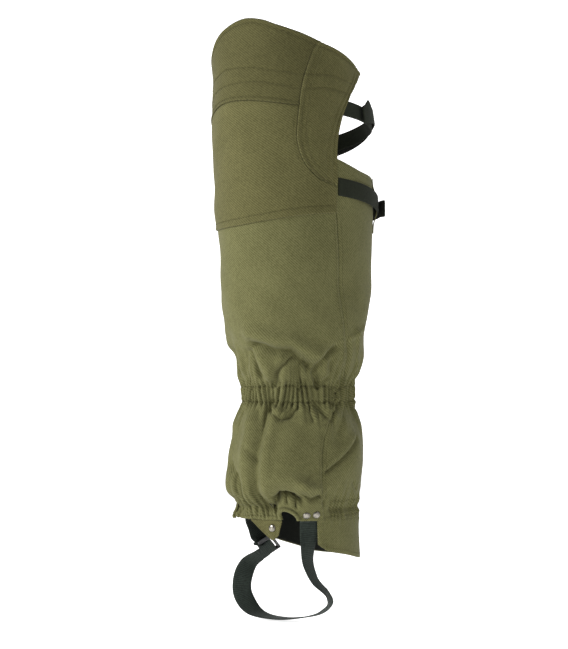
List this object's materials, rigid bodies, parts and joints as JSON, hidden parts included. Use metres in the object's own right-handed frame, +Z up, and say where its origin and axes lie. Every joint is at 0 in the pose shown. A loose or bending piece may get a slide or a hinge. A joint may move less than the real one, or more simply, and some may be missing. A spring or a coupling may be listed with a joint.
{
  "type": "gaiter",
  "caption": "Over-the-knee canvas gaiter for the left leg with elastic ankle and hem, knee straps, a lace hook and a buckled instep strap.",
  "frame": {"origin": "on the leg's axis, level with the stitch line of the hem", "axes": "+Z up the leg, -Y towards the toe, +X towards the outer side of the left leg"},
  "size_m": [0.1603, 0.1966, 0.6291],
  "materials": {
    "canvas": "olive twill canvas, matt",
    "lining": "black coated lining cloth",
    "elastic": "black woven elastic",
    "webbing": "black-green ribbed webbing, slight sheen",
    "knee_strap": "black elastic strap",
    "fastener_tape": "black hook and loop tape",
    "nickel": "polished nickel plate",
    "buckle": "black moulded acetal"
  },
  "bodies": {
    "gaiter": {"shin_panel": "canvas", "calf_panel": "canvas", "heel_flap": "canvas", "knee_lining": "canvas", "knee_panel": "canvas", "knee_band": "canvas", "knee_wing_left": "canvas", "knee_wing_right": "canvas", "ankle_casing": "canvas", "hem_casing_front": "canvas", "hem_casing_rear": "canvas", "hem_facing_left": "canvas", "hem_facing_right": "canvas", "arch_binding_left": "canvas", "arch_binding_right": "canvas", "strap_keeper": "canvas", "heel_lining": "lining", "lower_lining": "lining", "ankle_elastic": "elastic", "hem_elastic_front": "elastic", "hem_elastic_rear": "elastic", "strap_anchor_left": "webbing", "strap_anchor_right": "webbing", "upper_strap_inner": "knee_strap", "lower_strap_inner": "knee_strap", "upper_loop_tape": "fastener_tape", "lower_loop_tape": "fastener_tape", "strap_rivets_left": "nickel", "strap_rivets_right": "nickel"},
    "upper_strap": {"upper_strap_outer": "knee_strap", "upper_hook_tape": "fastener_tape"},
    "lower_strap": {"lower_strap_outer": "knee_strap", "lower_hook_tape": "fastener_tape"},
    "instep_loop": {"instep_strap": "webbing", "buckle_tab": "webbing", "strap_buckle": "buckle"},
    "lace_tongue": {"lace_tongue": "canvas", "lace_hook": "nickel", "lace_hook_rivet": "nickel"}
  },
  "joints": [
    {"name": "upper_strap_open", "type": "hinge", "parent": "gaiter", "child": "upper_strap", "pos_m": [-0.0765, 0.0103, 0.4041], "axis": [0, 0, 1], "range_deg": [0, 100]},
    {"name": "lower_strap_open", "type": "hinge", "parent": "gaiter", "child": "lower_strap", "pos_m": [-0.0792, 0.0003, 0.3323], "axis": [0, 0, 1], "range_deg": [0, 100]},
    {"name": "instep_strap_swing", "type": "hinge", "parent": "gaiter", "child": "instep_loop", "pos_m": [0, -0.0218, -0.012], "axis": [1, 0, 0], "range_deg": [-40, 40]},
    {"name": "lace_tongue_lift", "type": "hinge", "parent": "gaiter", "child": "lace_tongue", "pos_m": [0.0165, -0.0508, -0.0014], "axis": [-0.9659, -0.259, 0], "range_deg": [0, 70]}
  ]
}
